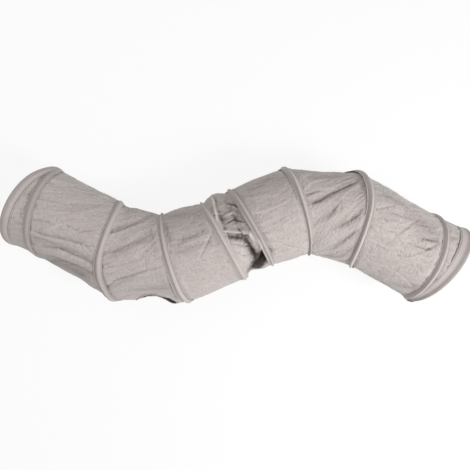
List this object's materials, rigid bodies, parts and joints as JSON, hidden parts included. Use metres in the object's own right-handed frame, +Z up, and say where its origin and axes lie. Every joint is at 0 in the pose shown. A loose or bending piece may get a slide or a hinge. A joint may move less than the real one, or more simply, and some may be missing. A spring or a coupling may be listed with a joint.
{
  "type": "cat tunnel",
  "caption": "Collapsible fabric cat tunnel held open by a spiral spring wire in a sewn casing, lying in an S with a peephole in one side and a tie at one mouth.",
  "frame": {"origin": "on the floor below the middle of the tunnel's box, as it lies in the picture", "axes": "+X from the left mouth towards the right mouth along the length of the box, +Y away from the peephole's side, +Z up from the floor"},
  "size_m": [1.2444, 0.393, 0.2475],
  "materials": {
    "fabric": "soft brushed woven cloth, finely wrinkled",
    "casing_tape": "the same cloth sewn double round the wire",
    "spring_wire": "hard drawn spring steel",
    "crimp_sleeve": "pressed steel sleeve",
    "ribbon": "black woven ribbon"
  },
  "bodies": {
    "mouth_left": {"left_mouth_hem": "casing_tape", "left_mouth_wire": "spring_wire", "left_crimp_sleeve": "crimp_sleeve", "left_lead_in_panel": "fabric"},
    "arch_1": {"casing_arch_1": "casing_tape", "wire_arch_1": "spring_wire"},
    "floor_1": {"casing_floor_1": "casing_tape", "wire_floor_1": "spring_wire", "fabric_panel_1": "fabric"},
    "arch_2": {"casing_arch_2": "casing_tape", "wire_arch_2": "spring_wire"},
    "floor_2": {"casing_floor_2": "casing_tape", "wire_floor_2": "spring_wire", "fabric_panel_2": "fabric", "peephole_binding": "casing_tape"},
    "arch_3": {"casing_arch_3": "casing_tape", "wire_arch_3": "spring_wire"},
    "floor_3": {"casing_floor_3": "casing_tape", "wire_floor_3": "spring_wire", "fabric_panel_3": "fabric"},
    "arch_4": {"casing_arch_4": "casing_tape", "wire_arch_4": "spring_wire"},
    "floor_4": {"casing_floor_4": "casing_tape", "wire_floor_4": "spring_wire", "fabric_panel_4": "fabric"},
    "arch_5": {"casing_arch_5": "casing_tape", "wire_arch_5": "spring_wire"},
    "floor_5": {"casing_floor_5": "casing_tape", "wire_floor_5": "spring_wire", "fabric_panel_5": "fabric"},
    "arch_6": {"casing_arch_6": "casing_tape", "wire_arch_6": "spring_wire"},
    "floor_6": {"casing_floor_6": "casing_tape", "wire_floor_6": "spring_wire", "fabric_panel_6": "fabric"},
    "arch_7": {"casing_arch_7": "casing_tape", "wire_arch_7": "spring_wire"},
    "floor_7": {"casing_floor_7": "casing_tape", "wire_floor_7": "spring_wire", "fabric_panel_7": "fabric"},
    "arch_8": {"casing_arch_8": "casing_tape", "wire_arch_8": "spring_wire"},
    "mouth_right": {"right_mouth_hem": "casing_tape", "right_mouth_wire": "spring_wire", "right_crimp_sleeve": "crimp_sleeve", "right_lead_out_panel": "fabric", "closing_tie_1": "ribbon", "closing_tie_2": "ribbon"}
  },
  "joints": [
    {"name": "mouth_left_fold", "type": "hinge", "parent": "arch_1", "child": "mouth_left", "pos_m": [-0.4998, 0.1832, 0.1237], "axis": [0, 0, -1], "range_deg": [-15, 0], "deforming": ["left_lead_in_panel", "fabric_panel_1"]},
    {"name": "near_fold_1", "type": "hinge", "parent": "floor_1", "child": "arch_1", "pos_m": [-0.5393, -0.0618, 0.1237], "axis": [0, 0, 1], "range_deg": [-36.7, 14.6], "stiffness_Nm_per_rad": 0.45, "deforming": ["fabric_panel_1", "fabric_panel_2", "left_lead_in_panel"]},
    {"name": "far_fold_1", "type": "hinge", "parent": "arch_2", "child": "floor_1", "pos_m": [-0.3236, 0.0965, 0.1237], "axis": [0, 0, -1], "range_deg": [-45.8, 1.4], "stiffness_Nm_per_rad": 0.45, "deforming": ["fabric_panel_1", "fabric_panel_2", "left_lead_in_panel"]},
    {"name": "near_fold_2", "type": "hinge", "parent": "floor_2", "child": "arch_2", "pos_m": [-0.3268, -0.1731, 0.1237], "axis": [0, 0, 1], "range_deg": [-20, 29.5], "stiffness_Nm_per_rad": 0.45, "deforming": ["fabric_panel_2", "fabric_panel_1", "fabric_panel_3", "peephole_binding"]},
    {"name": "far_fold_2", "type": "hinge", "parent": "arch_3", "child": "floor_2", "pos_m": [-0.2053, 0.0526, 0.1237], "axis": [0, 0, -1], "range_deg": [-37.7, 14.8], "stiffness_Nm_per_rad": 0.45, "deforming": ["fabric_panel_2", "fabric_panel_1", "fabric_panel_3", "peephole_binding"]},
    {"name": "near_fold_3", "type": "hinge", "parent": "floor_3", "child": "arch_3", "pos_m": [-0.1323, -0.179, 0.1237], "axis": [0, 0, 1], "range_deg": [-16.9, 35.7], "stiffness_Nm_per_rad": 0.45, "deforming": ["fabric_panel_3", "fabric_panel_2", "fabric_panel_4", "peephole_binding"]},
    {"name": "far_fold_3", "type": "hinge", "parent": "arch_4", "child": "floor_3", "pos_m": [-0.0977, 0.088, 0.1237], "axis": [0, 0, -1], "range_deg": [-30, 22.7], "stiffness_Nm_per_rad": 0.45, "deforming": ["fabric_panel_3", "fabric_panel_2", "fabric_panel_4"]},
    {"name": "near_fold_4", "type": "hinge", "parent": "floor_4", "child": "arch_4", "pos_m": [0.026, -0.1205, 0.1237], "axis": [0, 0, 1], "range_deg": [-11.6, 41.1], "stiffness_Nm_per_rad": 0.45, "deforming": ["fabric_panel_4", "fabric_panel_3", "fabric_panel_5"]},
    {"name": "far_fold_4", "type": "hinge", "parent": "floor_4", "child": "arch_5", "pos_m": [-0.022, 0.1262, 0.1237], "axis": [0, 0, 1], "range_deg": [-11.9, 40.8], "stiffness_Nm_per_rad": 0.45, "deforming": ["fabric_panel_4", "fabric_panel_3", "fabric_panel_5"]},
    {"name": "near_fold_5", "type": "hinge", "parent": "arch_5", "child": "floor_5", "pos_m": [0.1027, -0.0815, 0.1237], "axis": [0, 0, -1], "range_deg": [-28.8, 23.9], "stiffness_Nm_per_rad": 0.45, "deforming": ["fabric_panel_5", "fabric_panel_4", "fabric_panel_6"]},
    {"name": "far_fold_5", "type": "hinge", "parent": "floor_5", "child": "arch_6", "pos_m": [0.13, 0.1834, 0.1237], "axis": [0, 0, 1], "range_deg": [-15.6, 36.9], "stiffness_Nm_per_rad": 0.45, "deforming": ["fabric_panel_5", "fabric_panel_4", "fabric_panel_6"]},
    {"name": "near_fold_6", "type": "hinge", "parent": "arch_6", "child": "floor_6", "pos_m": [0.2039, -0.0482, 0.1237], "axis": [0, 0, -1], "range_deg": [-38.6, 13.9], "stiffness_Nm_per_rad": 0.45, "deforming": ["fabric_panel_6", "fabric_panel_5", "fabric_panel_7"]},
    {"name": "far_fold_6", "type": "hinge", "parent": "floor_6", "child": "arch_7", "pos_m": [0.3279, 0.1764, 0.1237], "axis": [0, 0, 1], "range_deg": [-19, 30.4], "stiffness_Nm_per_rad": 0.45, "deforming": ["fabric_panel_6", "fabric_panel_5", "fabric_panel_7"]},
    {"name": "near_fold_7", "type": "hinge", "parent": "arch_7", "child": "floor_7", "pos_m": [0.3173, -0.0886, 0.1237], "axis": [0, 0, -1], "range_deg": [-46.9, 0.8], "stiffness_Nm_per_rad": 0.45, "deforming": ["fabric_panel_7", "fabric_panel_6", "right_lead_out_panel"]},
    {"name": "far_fold_7", "type": "hinge", "parent": "floor_7", "child": "arch_8", "pos_m": [0.5432, 0.0607, 0.1237], "axis": [0, 0, 1], "range_deg": [-33, 19], "stiffness_Nm_per_rad": 0.45, "deforming": ["fabric_panel_7", "fabric_panel_6", "right_lead_out_panel"]},
    {"name": "mouth_right_fold", "type": "hinge", "parent": "arch_8", "child": "mouth_right", "pos_m": [0.4772, -0.1755, 0.1237], "axis": [0, 0, -1], "range_deg": [-13, 0], "deforming": ["right_lead_out_panel", "fabric_panel_7"]}
  ]
}
